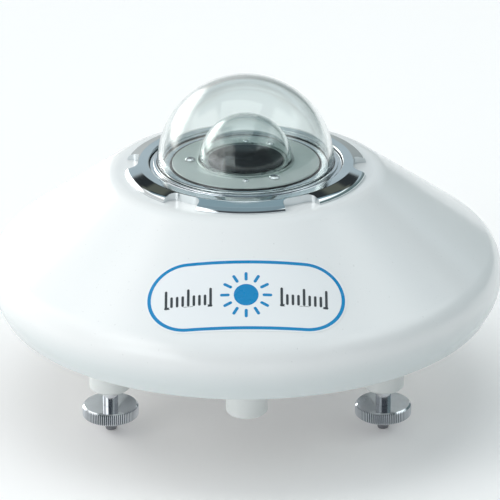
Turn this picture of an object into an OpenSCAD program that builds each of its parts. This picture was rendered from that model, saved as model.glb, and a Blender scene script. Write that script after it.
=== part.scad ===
// Pyranometer with a bell-shaped sun shield, a double glass dome and a three-point base.
// Millimetres. The Z axis is the axis of the domes. Z = 0 is the surface that the feet stand on.
// The front of the instrument looks along -Y.

/* [Sun shield] */
// Outer diameter of the sun shield
shield_d = 200; // [197:0.5:202]
// Wall thickness of the sun shield
shield_t = 2.5; // [2:0.1:2.6]
// Radius of the rounded edge between the flat top and the cone
shield_crown_r = 9; // [6:0.5:10]
// Radius of the rounded shoulder between the cone and the skirt
shield_shoulder_r = 12; // [9:0.5:13]
// Width of the label on the front of the cone
label_w = 75; // [60:1:80]
// Height of the label, measured along the cone
label_h = 31; // [24:1:34]

/* [Domes and detector] */
// Outer radius of the outer dome
dome_r = 34.5; // [34.3:0.05:34.55]
// Wall thickness of the outer dome
dome_t = 2; // [1.6:0.1:2.2]
// Outer radius of the inner dome
inner_dome_r = 18; // [17.7:0.05:18.05]
// Wall thickness of the inner dome
inner_dome_t = 1.5; // [1:0.1:1.6]
// Radius of the black detector disc
detector_r = 14.6; // [12:0.1:14.7]
// Radius of the circle of the detector plate's screws
plate_screw_pcr = 21.6; // [21.4:0.1:24]

/* [Lock ring] */
// Outer radius of the lock ring's tabs
ring_r = 47.3; // [46:0.1:48]
// Number of tabs round the lock ring
ring_tabs = 6; // [4:1:8]
// Angle that each notch between two tabs takes, in degrees
notch_deg = 18; // [14:1:24]
// Height of the flat top face of the lock ring
ring_top = 100.3; // [100:0.1:100.6]

/* [Housing] */
// Outer radius of the cylindrical body
body_r = 54; // [53.5:0.1:54.5]
// Outer radius of the base flange
flange_r = 71; // [70:0.5:72]
// Radius of the circle on which the feet and the fixing holes lie
boss_pcr = 61.5; // [61:0.1:62]
// Radius of each boss under the flange
boss_r = 8; // [7.5:0.1:8.4]
// Radius of the fixing holes
fixing_hole_r = 3.3; // [2.7:0.1:3.5]

/* [Levelling screws] */
// Outer radius of the knurled knobs
knob_r = 11; // [9:0.5:13]
// Thickness of the knurled knobs
knob_h = 5; // [4:0.1:6]
// Number of knurls round each knob
knurls = 84; // [40:2:100]
// Radius of the levelling studs
stud_r = 3; // [2.5:0.05:3]

/* [Hidden] */
$fn = 96;
e = 0.01;

// heights, from the floor up
z_knob = 5.7;                       // underside of the knobs
z_boss = 17.5;                      // underside of the bosses that take the feet
z_stub = 21.9;                      // underside of the bosses that take the fixing bolts
z_base = 32;                        // underside of the flange
z_flange = 38;                      // top of the flange
z_roof = 80;                        // inside of the housing's roof
z_seat = 84;                        // outside of the roof, on which the bezel stands
z_rim = 93.5;                       // top of the rim that carries the shield
z_top = 97;                         // flat top of the shield
z_under = z_top - shield_t;         // underside of the shield's flat top
z_plate = 100.4;                    // top of the detector plate
z_dome = 99.6;                      // centre of the outer dome

// radii
hole_r = 41;                        // hole in the top of the shield
bezel_r = 37.4;                     // outside of the dome bezel, under the lock ring
ring_in = 37.7;                     // bore of the lock ring
skirt_r = 40.6;                     // neck of the lock ring, inside the shield's hole
rim_in = 43.5;                      // inside of the housing's rim
rim_out = 49;                       // outside of the housing's rim
cavity_r = 46;                      // inside of the housing
plate_pocket_r = 53;                // pocket of the base plate
base_screw_pcr = 49.6;              // circle of the base plate's screws
notch_wall_r = 42;                  // bottom wall of the lock ring's notches
bead_r = 2.32;                      // rounding of the tabs' outer edge
cone_deg = 35.9;                    // fall of the shield's cone
ring_turn0 = -92.5;                 // direction of the first tab's middle

feet = [-30, -150, 90];             // directions of the two levelling screws and the fixed foot
fixings = [-90, 30, 150];           // directions of the fixing holes
level_x = -62.5;                    // the spirit level lies on the left of the flange
plug_z = 59;                        // height of the connector's axis, on the back
tube_z = 50;                        // height of the desiccant tube's axis, on the right

// ---------- helpers ----------
function unit(v) = v / norm(v);

// points of the fillet of radius rad at corner b, between a-b and b-c
function corner_arc(a, b, c, rad, n) =
    let (u = unit(a - b), v = unit(c - b),
         half = acos(u * v) / 2,
         centre = b + unit(u + v) * rad / sin(half),
         p0 = b + u * rad / tan(half), p1 = b + v * rad / tan(half),
         a0 = atan2(p0.y - centre.y, p0.x - centre.x),
         a1 = atan2(p1.y - centre.y, p1.x - centre.x),
         d = a1 - a0 > 180 ? a1 - a0 - 360 : a1 - a0 < -180 ? a1 - a0 + 360 : a1 - a0)
    [for (i = [0 : n]) centre + rad * [cos(a0 + d * i / n), sin(a0 + d * i / n)]];

// path through corners [r, z, fillet]
function rounded(c, n) = [for (i = [0 : len(c) - 1]) each
    (i == 0 || i == len(c) - 1 || c[i][2] == 0) ? [[c[i].x, c[i].y]]
    : corner_arc([c[i - 1].x, c[i - 1].y], [c[i].x, c[i].y], [c[i + 1].x, c[i + 1].y], c[i][2], n)];

// normal on the inner side of a path that runs outward and down
function inward(p, i) =
    let (a = p[max(0, i - 1)], b = p[min(len(p) - 1, i + 1)], d = unit(b - a)) [d.y, -d.x];
function inset(p, t) = [for (i = [0 : len(p) - 1]) p[i] + t * inward(p, i)];
function backwards(p) = [for (i = [len(p) - 1 : -1 : 0]) p[i]];

module at(deg, r, z = 0) { rotate([0, 0, deg]) translate([r, 0, z]) children(); }
module ring(r_in, r_out, z0, z1) {
    translate([0, 0, z0]) difference() {
        cylinder(r = r_out, h = z1 - z0);
        translate([0, 0, -1]) cylinder(r = r_in, h = z1 - z0 + 2);
    }
}
// pan-head screw that points down, its head standing on z = 0
module pan_screw(shank, head, head_h, len) {
    difference() {
        union() {
            cylinder(r = head, h = head_h * 0.55);
            translate([0, 0, head_h * 0.55]) cylinder(r1 = head, r2 = head * 0.72, h = head_h * 0.45);
            translate([0, 0, -len]) cylinder(r = shank, h = len + e);
        }
        for (a = [0, 90]) rotate([0, 0, a])
            translate([-head * 0.6, -head * 0.12, head_h * 0.45]) cube([head * 1.2, head * 0.24, head_h]);
    }
}
// socket-head screw that points down, its head standing on z = 0
module cap_screw(shank, head, head_h, len, key) {
    difference() {
        union() {
            cylinder(r = head, h = head_h);
            translate([0, 0, -len]) cylinder(r = shank, h = len + e);
        }
        translate([0, 0, head_h * 0.45]) cylinder(r = key, h = head_h, $fn = 6);
    }
}

// ---------- sun shield ----------
shield_r = shield_d / 2;
slope = tan(cone_deg);
cone_r0 = 52.7;                                         // where the cone would meet the flat top
shoulder_z = z_top - slope * (shield_r - cone_r0);      // where the cone would meet the skirt
shield_path = rounded([
    [hole_r, z_top, 0],
    [cone_r0, z_top, shield_crown_r],
    [shield_r, shoulder_z, shield_shoulder_r],
    [shield_r, 50.6, 14],
    [shield_r - 3.7, 43.5, 0]], 14);
shield_lip_out = shield_path[len(shield_path) - 1];
shield_lip_dir = unit(shield_lip_out - shield_path[len(shield_path) - 2]);
shield_lip_in = shield_lip_out + shield_t * [shield_lip_dir.y, -shield_lip_dir.x];
shield_lip = [for (i = [1 : 7]) let (a = 180 * i / 8)
    (shield_lip_out + shield_lip_in) / 2
    + (shield_lip_out - shield_lip_in) / 2 * cos(a) + shield_lip_dir * shield_t / 2 * sin(a)];

// the moulding in two nodes, which meet on the cone just above the shoulder
shield_split_r = shield_r - 6.6;
shield_split = [[shield_split_r, z_top - slope * (shield_split_r - cone_r0)]];
shield_upper = concat([for (i = [0 : 15]) shield_path[i]], shield_split);
shield_lower = concat(shield_split, [for (i = [16 : len(shield_path) - 1]) shield_path[i]]);

module sun_shield() {
    color([0.95, 0.96, 0.98]) {
        rotate_extrude($fn = 180)
            polygon(concat(shield_upper, backwards(inset(shield_upper, shield_t))));
        // collar under the flat top, which centres the shield on the housing's rim
        ring(rim_out + 0.6, rim_out + 2.6, 89, z_under + 1);
    }
}
module shield_skirt() {
    color([0.95, 0.96, 0.98]) rotate_extrude($fn = 180)
        polygon(concat(shield_lower, shield_lip, backwards(inset(shield_lower, shield_t))));
}

// ---------- label ----------
label_mid = 79;                                         // radius of the cone at the label's middle
label_z = z_top - slope * (label_mid - cone_r0);
label_t = 0.15;
module front_label() {
    // a thin skin on the cone, cut to a bar with round ends
    color([0.10, 0.42, 0.72]) intersection() {
        rotate_extrude($fn = 180) polygon([
            [cone_r0 + 6, z_top - slope * 6],
            [shield_r - 6, z_top - slope * (shield_r - 6 - cone_r0)],
            [shield_r - 6 + label_t * sin(cone_deg), z_top - slope * (shield_r - 6 - cone_r0) + label_t * cos(cone_deg)],
            [cone_r0 + 6 + label_t * sin(cone_deg), z_top - slope * 6 + label_t * cos(cone_deg)]]);
        translate([0, -label_mid, label_z]) rotate([90 - (90 - cone_deg), 0, 0])
            translate([0, 0, -16]) union() {
                for (s = [-1, 1]) translate([s * (label_w - label_h) / 2, 0, 0]) cylinder(r = label_h / 2, h = 26);
                translate([-(label_w - label_h) / 2, -label_h / 2, 0]) cube([label_w - label_h, label_h, 26]);
            }
    }
}

// ---------- lock ring ----------
module notch() {
    c = 3;                                              // radius of the cutter
    d = asin(c / (notch_wall_r + c));
    h = notch_deg / 2;
    translate([0, 0, z_top - 1]) {
        for (s = [-1, 1]) rotate([0, 0, s * (h - d)]) translate([notch_wall_r + c, 0, 0]) cylinder(r = c, h = 8, $fn = 48);
        linear_extrude(8) polygon(concat(
            [for (i = [0 : 8]) let (a = -(h - d) + 2 * (h - d) * i / 8) notch_wall_r * [cos(a), sin(a)]],
            [(ring_r + 2) * [cos(h - d), sin(h - d)], (ring_r + 2) * [cos(h - d), -sin(h - d)]]));
        linear_extrude(8) polygon([
            (notch_wall_r + c) * [cos(h), -sin(h)], (ring_r + 2) * [cos(h), -sin(h)],
            (ring_r + 3) * [1, 0],
            (ring_r + 2) * [cos(h), sin(h)], (notch_wall_r + c) * [cos(h), sin(h)]]);
    }
}
module lock_ring() {
    color([0.74, 0.77, 0.80]) difference() {
        rotate_extrude($fn = 180) polygon([
            [ring_in, 88.5], [skirt_r, 88.5],
            [skirt_r, 89.7], [skirt_r - 1, 89.7], [skirt_r - 1, 91.5], [skirt_r, 91.5],
            [skirt_r, z_top], [ring_r - 0.25, z_top],
            // rounded shoulder round the tabs
            each [for (i = [0 : 8]) let (a = 6 + 68.8 * i / 8)
                [ring_r - bead_r + bead_r * cos(a), z_top + bead_r * sin(a)]],
            [notch_wall_r - 0.3, ring_top], [ring_in + 0.4, ring_top], [ring_in, ring_top - 0.4]]);
        for (i = [0 : ring_tabs - 1]) rotate([0, 0, ring_turn0 + 180 / ring_tabs + 360 / ring_tabs * i]) notch();
    }
}
module ring_retainer() {
    color([0.55, 0.56, 0.58]) difference() {
        ring(skirt_r - 0.7, skirt_r + 1.6, 90, 91.2);
        rotate([0, 0, 80]) translate([0, -6, 88]) cube([60, 12, 5]);
    }
}

// ---------- housing ----------
module shield_gasket() {
    color([0.16, 0.17, 0.18]) ring(rim_in + 0.3, rim_out - 0.3, z_rim, z_under);
}
module main_housing() {
    color([0.90, 0.92, 0.92]) difference() {
        union() {
            rotate_extrude($fn = 180) polygon([
                [0, z_base], [body_r, z_base], [body_r, z_seat - 2], [body_r - 2, z_seat], [rim_out, z_seat], [rim_out, z_rim - 0.6],
                [rim_out - 0.6, z_rim], [rim_in, z_rim], [rim_in, z_seat], [0, z_seat]]);
            // flat face for the connector, on the back
            translate([-13.5, 40, plug_z - 13.5]) cube([27, 16, 27]);
            // port of the desiccant tube, on the right
            translate([45, 0, tube_z]) rotate([0, 90, 0]) cylinder(r = 9, h = 13);
        }
        // cavity, open at the bottom
        translate([0, 0, z_base + 3.5]) cylinder(r = cavity_r, h = z_roof - z_base - 3.5);
        translate([0, 0, z_base - 1]) cylinder(r = plate_pocket_r, h = 4.5);
        // hole for the sensor block and holes for the bezel's screws
        translate([0, 0, z_roof - 1]) cylinder(r = 30, h = 10);
        for (i = [0 : 5]) at(60 * i, 35.3, z_roof - 1) cylinder(r = 1.7, h = 6, $fn = 32);
        // screws of the base plate
        for (i = [0 : 5]) at(60 * i, base_screw_pcr, z_base) cylinder(r = 1.55, h = 10, $fn = 32);
        // connector
        translate([0, 36, plug_z]) rotate([-90, 0, 0]) cylinder(r = 7.3, h = 22);
        for (x = [-1, 1], z = [-1, 1]) translate([x * 9, 48, plug_z + z * 9]) rotate([-90, 0, 0]) cylinder(r = 1.3, h = 10, $fn = 32);
        // desiccant tube
        translate([40, 0, tube_z]) rotate([0, 90, 0]) cylinder(r = 7.1, h = 20);
    }
}
// holes for the bushes, the fixed foot's stud and the fixing bolts, through flange and bosses
module foot_holes() {
    for (a = [feet[0], feet[1]]) at(a, boss_pcr, z_boss - 1) cylinder(r = 5.05, h = 30);
    at(feet[2], boss_pcr, z_boss - 1) cylinder(r = 3.05, h = 30);
    for (a = fixings) at(a, boss_pcr, z_stub - 1) cylinder(r = fixing_hole_r, h = 30);
}
module base_flange() {
    color([0.90, 0.92, 0.92]) difference() {
        union() {
            rotate_extrude($fn = 180) polygon([
                [body_r, z_base], [flange_r - 1, z_base], [flange_r, z_base + 1], [flange_r, z_flange - 1.5],
                [flange_r - 1.5, z_flange], [body_r, z_flange]]);
            // feet of the spirit level
            for (s = [-1, 1]) translate([level_x, s * 11.5, z_flange - 1]) cylinder(r = 3.4, h = 2);
        }
        foot_holes();
        for (s = [-1, 1]) translate([level_x, s * 11.5, z_flange - 4]) cylinder(r = 1.05, h = 8, $fn = 32);
    }
}
module support_bosses() {
    color([0.90, 0.92, 0.92]) difference() {
        union() {
            for (a = feet) at(a, boss_pcr, z_boss) {
                translate([0, 0, 0.8]) cylinder(r = boss_r, h = z_base - z_boss - 0.8);
                cylinder(r1 = boss_r - 0.8, r2 = boss_r, h = 0.8 + e);
            }
            for (a = fixings) at(a, boss_pcr, z_stub) {
                translate([0, 0, 0.8]) cylinder(r = boss_r, h = z_base - z_stub - 0.8);
                cylinder(r1 = boss_r - 0.8, r2 = boss_r, h = 0.8 + e);
            }
        }
        foot_holes();
    }
}
module base_plate() {
    color([0.72, 0.74, 0.75]) difference() {
        union() {
            translate([0, 0, z_base]) cylinder(r = plate_pocket_r - 0.3, h = 3);
            translate([0, 0, z_base + 2.9]) cylinder(r = cavity_r - 0.6, h = 1.6);
        }
        for (i = [0 : 5]) at(60 * i, base_screw_pcr, z_base - 1) {
            cylinder(r = 1.7, h = 9, $fn = 32);
            cylinder(r = 3.05, h = 2.2, $fn = 32);
        }
        for (i = [0 : 2]) at(60 + 120 * i, 28, z_base + 1.2) cylinder(r = 1.55, h = 9, $fn = 32);
    }
}
module base_gasket() {
    color([0.16, 0.17, 0.18]) difference() {
        ring(cavity_r + 0.3, plate_pocket_r - 0.5, z_base + 3, z_base + 3.5);
        for (i = [0 : 5]) at(60 * i, base_screw_pcr, z_base - 1) cylinder(r = 1.8, h = 9, $fn = 32);
    }
}
module base_screws() {
    color([0.75, 0.76, 0.78]) for (i = [0 : 5]) at(60 * i, base_screw_pcr, z_base + 1.2)
        mirror([0, 0, 1]) intersection() {
            cap_screw(1.5, 2.8, 1.6, 8, 1.2);
            translate([0, 0, -20]) cylinder(r = 3, h = 21.1);
        }
}

// ---------- feet ----------
module levelling_bushes() {
    color([0.78, 0.66, 0.38]) for (a = [feet[0], feet[1]]) at(a, boss_pcr)
        ring(stud_r + 0.06, 5, z_boss + 0.5, z_flange - 0.4);
}
module knob() {
    translate([0, 0, z_knob]) difference() {
        intersection() {
            linear_extrude(knob_h) polygon([for (i = [0 : 2 * knurls - 1])
                (i % 2 == 0 ? knob_r : knob_r - 0.38) * [cos(180 * i / knurls), sin(180 * i / knurls)]]);
            union() {
                cylinder(r1 = knob_r - 0.75, r2 = knob_r + 0.05, h = 0.8 + e);
                translate([0, 0, 0.8]) cylinder(r = knob_r + 0.05, h = knob_h - 1.6);
                translate([0, 0, knob_h - 0.8 - e]) cylinder(r1 = knob_r + 0.05, r2 = knob_r - 0.75, h = 0.8 + e);
            }
        }
        translate([0, 0, -1]) cylinder(r = stud_r + 0.02, h = knob_h + 2);
    }
}
module stud() {
    difference() {
        union() {
            translate([0, 0, 2.2]) cylinder(r = stud_r, h = 30.6);
            translate([0, 0, 32.8 - e]) cylinder(r1 = stud_r, r2 = stud_r - 0.7, h = 0.7);
        }
        cylinder(r = 1.45, h = 5.3);
    }
}
module tip() {
    cylinder(r1 = 2, r2 = 2.75, h = 2.1);
    cylinder(r = 1.4, h = 5);
}
module left_levelling_knob() { color([0.72, 0.74, 0.77]) at(feet[1], boss_pcr) knob(); }
module left_levelling_stud() { color([0.72, 0.74, 0.77]) at(feet[1], boss_pcr) stud(); }
module left_levelling_tip() { color([0.35, 0.36, 0.38]) at(feet[1], boss_pcr) tip(); }
module right_levelling_knob() { color([0.72, 0.74, 0.77]) at(feet[0], boss_pcr) knob(); }
module right_levelling_stud() { color([0.72, 0.74, 0.77]) at(feet[0], boss_pcr) stud(); }
module right_levelling_tip() { color([0.35, 0.36, 0.38]) at(feet[0], boss_pcr) tip(); }
module fixed_foot() {
    color([0.74, 0.76, 0.78]) at(feet[2], boss_pcr) {
        translate([0, 0, 2.5]) cylinder(r1 = 6.2, r2 = 7, h = 0.8 + e);
        translate([0, 0, 3.3]) cylinder(r = 7, h = z_boss - 3.3);
        translate([0, 0, z_boss - e]) cylinder(r = stud_r, h = 26);
    }
}
module foot_pad() {
    color([0.12, 0.12, 0.13]) at(feet[2], boss_pcr) {
        cylinder(r1 = 6.2, r2 = 6.8, h = 0.6 + e);
        translate([0, 0, 0.6]) cylinder(r = 6.8, h = 1.9);
    }
}
module foot_nut() {
    color([0.75, 0.76, 0.78]) at(feet[2], boss_pcr) difference() {
        union() {
            translate([0, 0, z_flange]) cylinder(r = 6, h = 1);
            translate([0, 0, z_flange + 1 - e]) cylinder(r = 5.77, h = 4, $fn = 6);
        }
        translate([0, 0, z_flange - 1]) cylinder(r = stud_r + 0.03, h = 8);
    }
}

// ---------- domes and detector ----------
// half shell of a sphere about [0, 0, zc], with a straight foot down to z0
function arc_up(r, zc, n) = [for (i = [0 : n]) [r * cos(90 * i / n), zc + r * sin(90 * i / n)]];
module dome(r, t, zc, z0) {
    rotate_extrude($fn = 180) polygon(concat(
        z0 < zc ? [[r - t, z0], [r, z0]] : [],
        arc_up(r, zc, 40), backwards(arc_up(r - t, zc, 40))));
}
module outer_dome() { color([0.80, 0.88, 0.88, 0.35]) dome(dome_r, dome_t, z_dome, 98.1); }
module inner_dome() { color([0.80, 0.88, 0.88, 0.35]) dome(inner_dome_r, inner_dome_t, 101, 100.75); }
module dome_bezel() {
    color([0.76, 0.78, 0.81]) difference() {
        rotate_extrude($fn = 180) polygon([
            [33.3, z_seat], [bezel_r, z_seat], [bezel_r, 99], [bezel_r - 0.4, 99.4],
            [36, 99.4], [36, 99.9], [35.7, 100.2], [34.9, 100.2], [34.65, 99.95],
            [34.65, 98], [32.2, 98], [32.2, 99.6], [31.9, 99.9], [29.8, 99.9], [29.4, 99.5],
            [29.4, 95.5], [33.3, 95.5]]);
        for (i = [0 : 5]) at(60 * i, 35.3, z_seat - 1) cylinder(r = 1.53, h = 9, $fn = 32);
    }
}
module dome_seal() {
    color([0.12, 0.12, 0.13]) rotate_extrude($fn = 120) translate([31.2, 94.68]) circle(r = 0.8, $fn = 32);
}
module bezel_screws() {
    color([0.75, 0.76, 0.78]) for (i = [0 : 5]) at(60 * i, 35.3, z_roof) mirror([0, 0, 1]) cap_screw(1.5, 2.75, 2.6, 11, 1.3);
}
module inner_dome_ring() {
    color([0.80, 0.82, 0.84]) rotate_extrude($fn = 120) polygon([
        [15, z_plate], [18.9, z_plate], [18.9, 101], [18.7, 101.2], [18.12, 101.2], [18.12, 100.7],
        [16.35, 100.7], [16.35, 101], [15.2, 101], [15, 100.8]]);
}
module detector_plate() {
    color([0.66, 0.71, 0.69]) difference() {
        union() {
            translate([0, 0, 97.9]) cylinder(r = 28.7, h = z_plate - 97.9 - 0.25);
            translate([0, 0, z_plate - 0.25 - e]) cylinder(r1 = 28.7, r2 = 28.45, h = 0.25 + e);
        }
        translate([0, 0, 90]) cylinder(r = 14.8, h = 20);
        for (a = [60, 180, 300]) at(a, plate_screw_pcr, 90) cylinder(r = 1.3, h = 20, $fn = 32);
        for (a = [90, 270]) at(a, plate_screw_pcr, 90) cylinder(r = 0.8, h = 20, $fn = 32);
    }
}
module plate_screws() {
    color([0.80, 0.81, 0.83]) {
        for (a = [60, 180, 300]) at(a, plate_screw_pcr, z_plate) rotate([0, 0, 20 + a]) pan_screw(1.25, 2, 1, 7.5);
        for (a = [90, 270]) at(a, plate_screw_pcr, z_plate) rotate([0, 0, a / 4]) pan_screw(0.75, 1.15, 0.6, 5);
    }
}
module absorber_disc() {
    color([0.09, 0.10, 0.11]) {
        translate([0, 0, 100.9]) cylinder(r = detector_r, h = 0.5);
        translate([0, 0, 101.4 - e]) cylinder(r1 = detector_r, r2 = detector_r - 0.15, h = 0.2);
    }
}
module thermopile_body() {
    color([0.30, 0.31, 0.33]) {
        translate([0, 0, 88.2]) cylinder(r = detector_r - 0.3, h = 12.7);
        for (s = [-1, 1]) translate([s * 2, 0, 84.5]) cylinder(r = 0.4, h = 3.8, $fn = 24);
    }
}
module sensor_block() {
    color([0.70, 0.72, 0.74]) difference() {
        union() {
            translate([0, 0, 78]) cylinder(r = 29.8, h = 8);
            translate([0, 0, z_seat]) cylinder(r = 33.1, h = 95.5 - z_seat);
            translate([0, 0, 95.4]) cylinder(r = 28, h = 2.5);
        }
        translate([0, 0, 88]) cylinder(r = 14.7, h = 20);
        translate([0, 0, 70]) cylinder(r = 5, h = 30);
        // groove of the dome's seal
        ring(30.3, 32.1, 93.85, 96.5);
        for (a = [60, 180, 300]) at(a, plate_screw_pcr, 92) cylinder(r = 1.3, h = 9, $fn = 32);
        for (a = [90, 270]) at(a, plate_screw_pcr, 94.5) cylinder(r = 0.8, h = 9, $fn = 32);
    }
}

// ---------- spirit level ----------
module level_case() {
    color([0.20, 0.21, 0.22]) translate([level_x, 0, z_flange + 1]) difference() {
        union() {
            cylinder(r = 7.6, h = 7.6);
            translate([-3.4, -11.5, 0]) cube([6.8, 23, 1.8]);
            for (s = [-1, 1]) translate([0, s * 11.5, 0]) cylinder(r = 3.4, h = 1.8);
        }
        translate([0, 0, 1.6]) cylinder(r = 6.6, h = 10);
        for (s = [-1, 1]) translate([0, s * 11.5, -1]) cylinder(r = 1.2, h = 5, $fn = 32);
    }
}
module level_fluid() {
    color([0.62, 0.86, 0.25, 0.8]) translate([level_x, 0, z_flange + 2.6]) cylinder(r = 6.5, h = 3.8);
}
module level_window() {
    color([0.85, 0.90, 0.90, 0.4]) translate([level_x, 0, z_flange + 6.4]) intersection() {
        cylinder(r = 6.5, h = 4);
        translate([0, 0, 3.1 - 22]) sphere(r = 22);
    }
}
module level_screws() {
    color([0.75, 0.76, 0.78]) for (s = [-1, 1]) translate([level_x, s * 11.5, z_flange + 2.8]) pan_screw(1, 1.9, 1.1, 6);
}

// ---------- connector ----------
module connector_socket() {
    color([0.68, 0.70, 0.72]) translate([0, 57, plug_z]) rotate([-90, 0, 0]) difference() {
        union() {
            difference() {
                translate([-12.5, -12.5, 0]) cube([25, 25, 2.5]);
                for (x = [-1, 1], y = [-1, 1]) translate([x * 9, y * 9, -1]) cylinder(r = 1.6, h = 5, $fn = 32);
            }
            translate([0, 0, 2.4]) cylinder(r = 8, h = 9.6);
            translate([0, 0, 12 - e]) cylinder(r1 = 8, r2 = 7.5, h = 0.5);
            translate([0, 0, -13]) cylinder(r = 7.1, h = 14);
        }
        translate([0, 0, 3]) cylinder(r = 6.8, h = 12);
        translate([0, 0, -14]) cylinder(r = 5.6, h = 20);
    }
}
module connector_insert() {
    color([0.13, 0.13, 0.14]) translate([0, 57, plug_z]) rotate([-90, 0, 0]) {
        difference() {
            union() {
                translate([0, 0, -10]) cylinder(r = 5.5, h = 14);
                translate([0, 0, 3.1]) cylinder(r = 6.7, h = 1.5);
            }
            for (i = [0 : 5]) rotate([0, 0, 60 * i]) translate([3.4, 0, -12]) cylinder(r = 0.55, h = 20, $fn = 24);
        }
    }
}
module connector_pins() {
    color([0.85, 0.72, 0.38]) translate([0, 57, plug_z]) rotate([-90, 0, 0])
        for (i = [0 : 5]) rotate([0, 0, 60 * i]) translate([3.4, 0, -12]) cylinder(r = 0.5, h = 22.5, $fn = 24);
}
module connector_gasket() {
    color([0.12, 0.12, 0.13]) translate([0, 56, plug_z]) rotate([-90, 0, 0]) difference() {
        translate([-12.5, -12.5, 0]) cube([25, 25, 1]);
        translate([0, 0, -1]) cylinder(r = 7.4, h = 3);
        for (x = [-1, 1], y = [-1, 1]) translate([x * 9, y * 9, -1]) cylinder(r = 1.6, h = 5, $fn = 32);
    }
}
module connector_screws() {
    color([0.75, 0.76, 0.78]) for (x = [-1, 1], z = [-1, 1]) translate([x * 9, 59.5, plug_z + z * 9]) rotate([-90, 0, 0])
        pan_screw(1.25, 2.3, 1.5, 10);
}

// ---------- desiccant ----------
module desiccant_tube() {
    color([0.86, 0.88, 0.88]) translate([36, 0, tube_z]) rotate([0, 90, 0]) difference() {
        union() {
            cylinder(r = 6.8, h = 23.1);
            translate([0, 0, 23]) cylinder(r = 8.8, h = 1.5);
        }
        translate([0, 0, 1.2]) cylinder(r = 5.8, h = 30);
        // slots that let the air reach the gel
        for (i = [0 : 5]) rotate([0, 0, 60 * i]) translate([3, -0.8, 2.5]) cube([6, 1.6, 12]);
    }
}
module desiccant_gel() {
    color([0.93, 0.52, 0.14]) translate([37.3, 0, tube_z]) rotate([0, 90, 0]) cylinder(r = 5.7, h = 21);
}
module desiccant_seal() {
    color([0.12, 0.12, 0.13]) translate([58, 0, tube_z]) rotate([0, 90, 0]) ring(7.0, 8.7, 0, 1);
}
module desiccant_cap() {
    color([0.20, 0.21, 0.22]) translate([54.6, 0, tube_z]) rotate([0, 90, 0]) difference() {
        intersection() {
            union() {
                linear_extrude(11.4) polygon([for (i = [0 : 71])
                    (i % 2 == 0 ? 11 : 10.5) * [cos(5 * i), sin(5 * i)]]);
            }
            union() {
                cylinder(r = 11.1, h = 10.4 + e);
                translate([0, 0, 10.4]) cylinder(r1 = 11.1, r2 = 10, h = 1);
            }
        }
        translate([0, 0, -1]) cylinder(r = 9.3, h = 7);
        // slot for a coin
        translate([-1, -8, 9.9]) cube([2, 16, 4]);
    }
}

// ---------- electronics ----------
module circuit_board() {
    color([0.12, 0.42, 0.25]) difference() {
        translate([0, 0, 59]) cylinder(r = 34, h = 1.6);
        for (i = [0 : 2]) at(60 + 120 * i, 28, 58) cylinder(r = 1.3, h = 5, $fn = 32);
        for (s = [-1, 1]) translate([s * 2, 0, 58]) cylinder(r = 0.7, h = 5, $fn = 24);
        for (i = [0 : 2]) translate([-5 + 5 * i, 24, 58]) cylinder(r = 0.7, h = 5, $fn = 24);
    }
}
module board_standoffs() {
    color([0.75, 0.76, 0.78]) for (i = [0 : 2]) at(60 + 120 * i, 28) difference() {
        union() {
            translate([0, 0, z_base + 4.5]) cylinder(r = 3.2, h = 59 - z_base - 4.5, $fn = 6);
            translate([0, 0, z_base + 1.5]) cylinder(r = 1.5, h = 4, $fn = 32);
        }
        translate([0, 0, 52]) cylinder(r = 1.3, h = 10, $fn = 32);
    }
}
module board_screws() {
    color([0.80, 0.81, 0.83]) for (i = [0 : 2]) at(60 + 120 * i, 28, 60.6) pan_screw(1.25, 2.3, 1.5, 6);
}
module terminal_block() {
    color([0.16, 0.36, 0.30]) translate([-13, 8, 60.6]) difference() {
        union() {
            cube([26, 7, 9]);
            translate([0, 0, 0]) cube([26, 10, 4]);
        }
        for (i = [0 : 4]) translate([3 + 5 * i, 3.5, 5]) cylinder(r = 1.6, h = 6, $fn = 32);
        for (i = [0 : 4]) translate([3 + 5 * i - 1.5, 7.5, 1.2]) cube([3, 4, 1.9]);
    }
}
module sensor_leads() {
    // two wires from the thermopile down to the board
    color([0.75, 0.15, 0.12]) for (s = [-1, 1]) translate([s * 2, 0, 58.2]) cylinder(r = 0.6, h = 26.2, $fn = 24);
}
module connector_leads() {
    // three wires from the board up and back to the connector's pins
    color([0.15, 0.30, 0.62]) for (i = [0 : 2]) translate([-5 + 5 * i, 24, 0]) {
        translate([0, 0, 58.2]) cylinder(r = 0.6, h = 3.8 + 0.6 * i, $fn = 24);
        translate([0, 0, 62 + 0.6 * i]) sphere(r = 0.6, $fn = 24);
        translate([0, 0, 62 + 0.6 * i]) rotate([-90, 0, 0]) cylinder(r = 0.6, h = 12, $fn = 24);
    }
}

sun_shield();
shield_skirt();
front_label();
lock_ring();
ring_retainer();
shield_gasket();
main_housing();
base_flange();
support_bosses();
base_plate();
base_gasket();
base_screws();
levelling_bushes();
left_levelling_knob();
left_levelling_stud();
left_levelling_tip();
right_levelling_knob();
right_levelling_stud();
right_levelling_tip();
fixed_foot();
foot_pad();
foot_nut();
outer_dome();
dome_bezel();
dome_seal();
bezel_screws();
inner_dome();
inner_dome_ring();
detector_plate();
plate_screws();
absorber_disc();
thermopile_body();
sensor_block();
level_case();
level_fluid();
level_window();
level_screws();
connector_socket();
connector_insert();
connector_pins();
connector_gasket();
connector_screws();
desiccant_tube();
desiccant_gel();
desiccant_seal();
desiccant_cap();
circuit_board();
board_standoffs();
board_screws();
terminal_block();
sensor_leads();
connector_leads();
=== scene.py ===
import math
import random

import bmesh
import bpy
from mathutils import Matrix, Vector


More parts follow.
